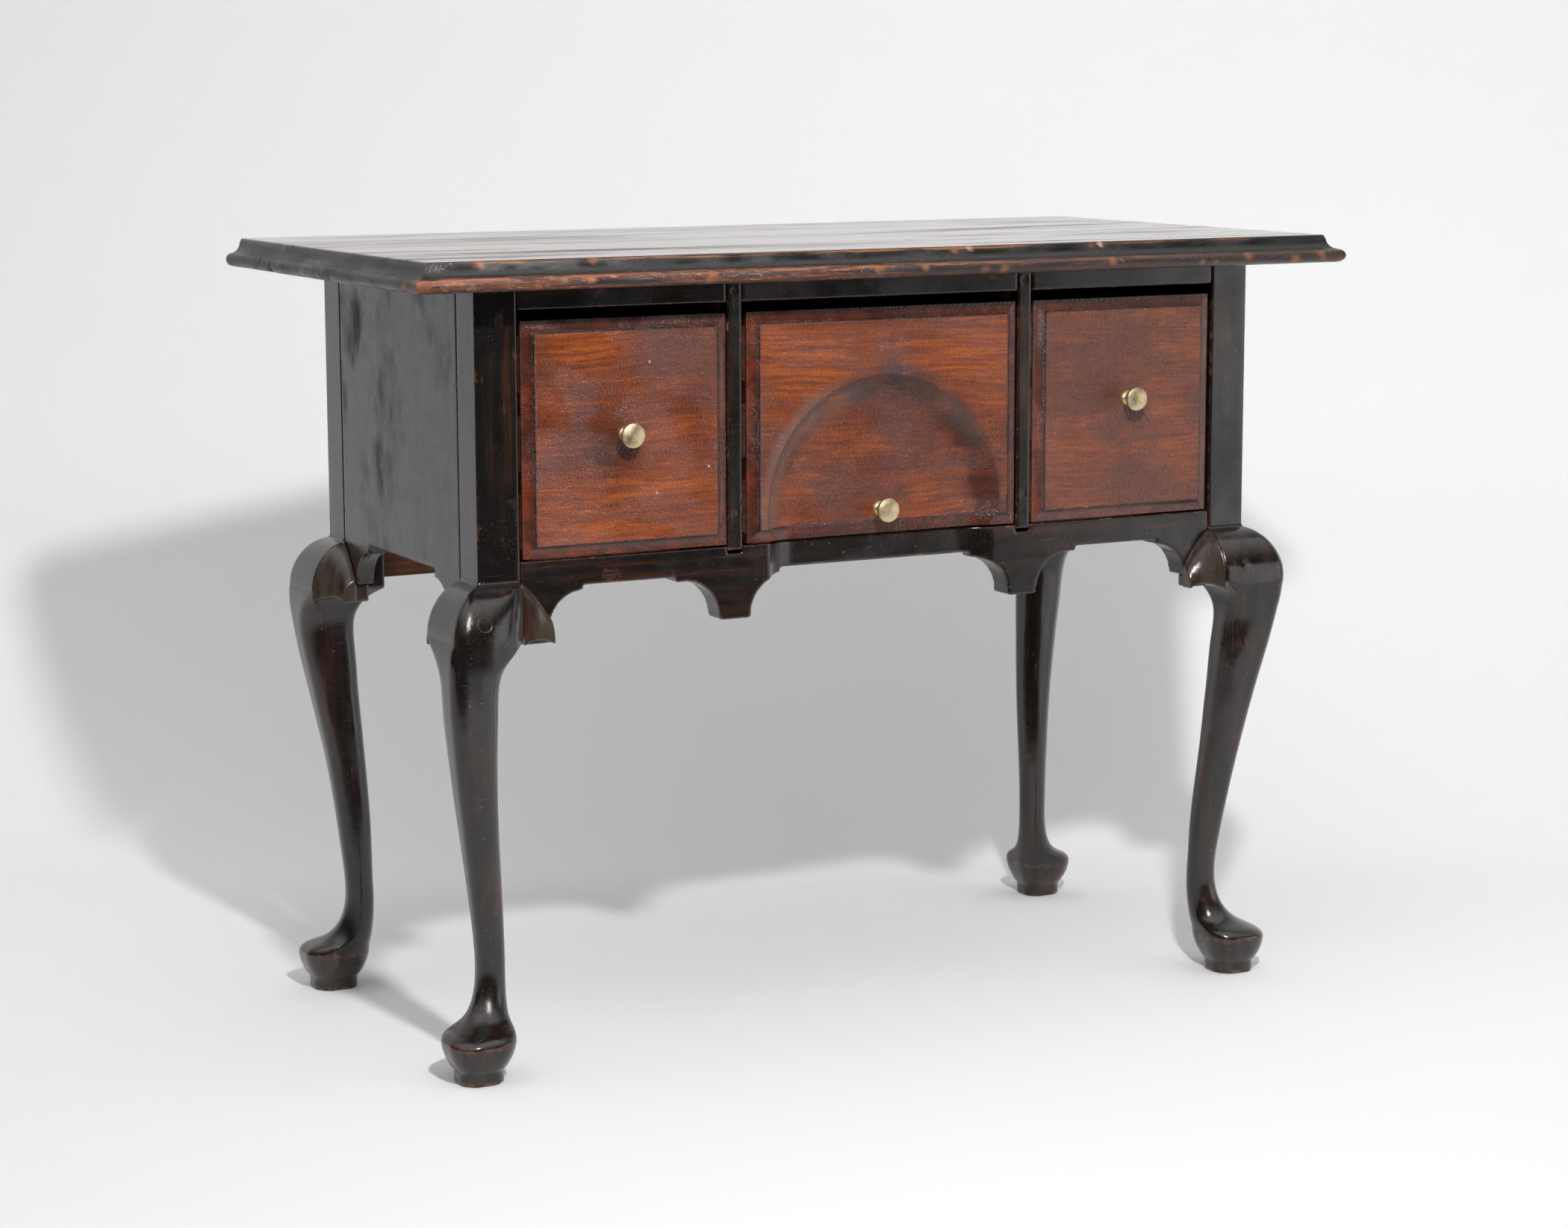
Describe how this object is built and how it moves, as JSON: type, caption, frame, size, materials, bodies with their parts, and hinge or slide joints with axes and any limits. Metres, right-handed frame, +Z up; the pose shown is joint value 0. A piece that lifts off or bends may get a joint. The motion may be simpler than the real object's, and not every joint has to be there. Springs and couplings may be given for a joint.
{
  "type": "lowboy",
  "caption": "Low dressing table with a moulded top, drawers with small brass knobs, a shaped apron and cabriole legs on pad feet.",
  "frame": {"origin": "on the floor under the middle of the top", "axes": "+Z up, -Y out of the drawers' fronts, +X to the right as one faces the drawers"},
  "size_m": [0.948, 0.481, 0.72],
  "materials": {
    "black_paint": "old black paint under varnish, worn brown at the edges",
    "drawer_varnish": "dark red-brown varnish, crackled and smoky",
    "bare_wood": "bare, aged, matt",
    "brass": "worn, aged",
    "iron": "dull, oxidised"
  },
  "bodies": {
    "case": {"back_nails": "iron", "back_panel": "bare_wood", "divider_left": "black_paint", "divider_nails": "iron", "divider_right": "black_paint", "drawer_stops": "bare_wood", "front_apron": "black_paint", "inner_guide_left": "bare_wood", "inner_guide_right": "bare_wood", "inner_runner_left": "bare_wood", "inner_runner_right": "bare_wood", "kicker_left": "bare_wood", "kicker_right": "bare_wood", "knee_block_back_left_side": "black_paint", "knee_block_back_right_side": "black_paint", "knee_block_front_left_face": "black_paint", "knee_block_front_left_side": "black_paint", "knee_block_front_right_face": "black_paint", "knee_block_front_right_side": "black_paint", "leg_back_left": "black_paint", "leg_back_right": "black_paint", "leg_front_left": "black_paint", "leg_front_right": "black_paint", "outer_guide_left": "bare_wood", "outer_guide_right": "bare_wood", "outer_runner_left": "bare_wood", "outer_runner_right": "bare_wood", "pegs": "black_paint", "side_panel_left": "black_paint", "side_panel_right": "black_paint", "top_board_back": "black_paint", "top_board_front": "black_paint", "top_board_middle": "black_paint", "top_glue_blocks": "bare_wood", "top_rail": "black_paint"},
    "drawer_left": {"drawer_left_front": "drawer_varnish", "drawer_left_side_left": "bare_wood", "drawer_left_side_right": "bare_wood", "drawer_left_back": "bare_wood", "drawer_left_bottom": "bare_wood", "drawer_left_bottom_nails": "iron", "drawer_left_knob": "brass", "drawer_left_knob_nut": "brass"},
    "drawer_middle": {"drawer_middle_front": "drawer_varnish", "drawer_middle_side_left": "bare_wood", "drawer_middle_side_right": "bare_wood", "drawer_middle_back": "bare_wood", "drawer_middle_bottom": "bare_wood", "drawer_middle_bottom_nails": "iron", "drawer_middle_knob": "brass", "drawer_middle_knob_nut": "brass"},
    "drawer_right": {"drawer_right_front": "drawer_varnish", "drawer_right_side_left": "bare_wood", "drawer_right_side_right": "bare_wood", "drawer_right_back": "bare_wood", "drawer_right_bottom": "bare_wood", "drawer_right_bottom_nails": "iron", "drawer_right_knob": "brass", "drawer_right_knob_nut": "brass"}
  },
  "joints": [
    {"name": "drawer_left_slide", "type": "slide", "parent": "case", "child": "drawer_left", "axis": [0, -1, 0], "range_m": [0, 0.28]},
    {"name": "drawer_middle_slide", "type": "slide", "parent": "case", "child": "drawer_middle", "axis": [0, -1, 0], "range_m": [0, 0.28]},
    {"name": "drawer_right_slide", "type": "slide", "parent": "case", "child": "drawer_right", "axis": [0, -1, 0], "range_m": [0, 0.28]}
  ]
}
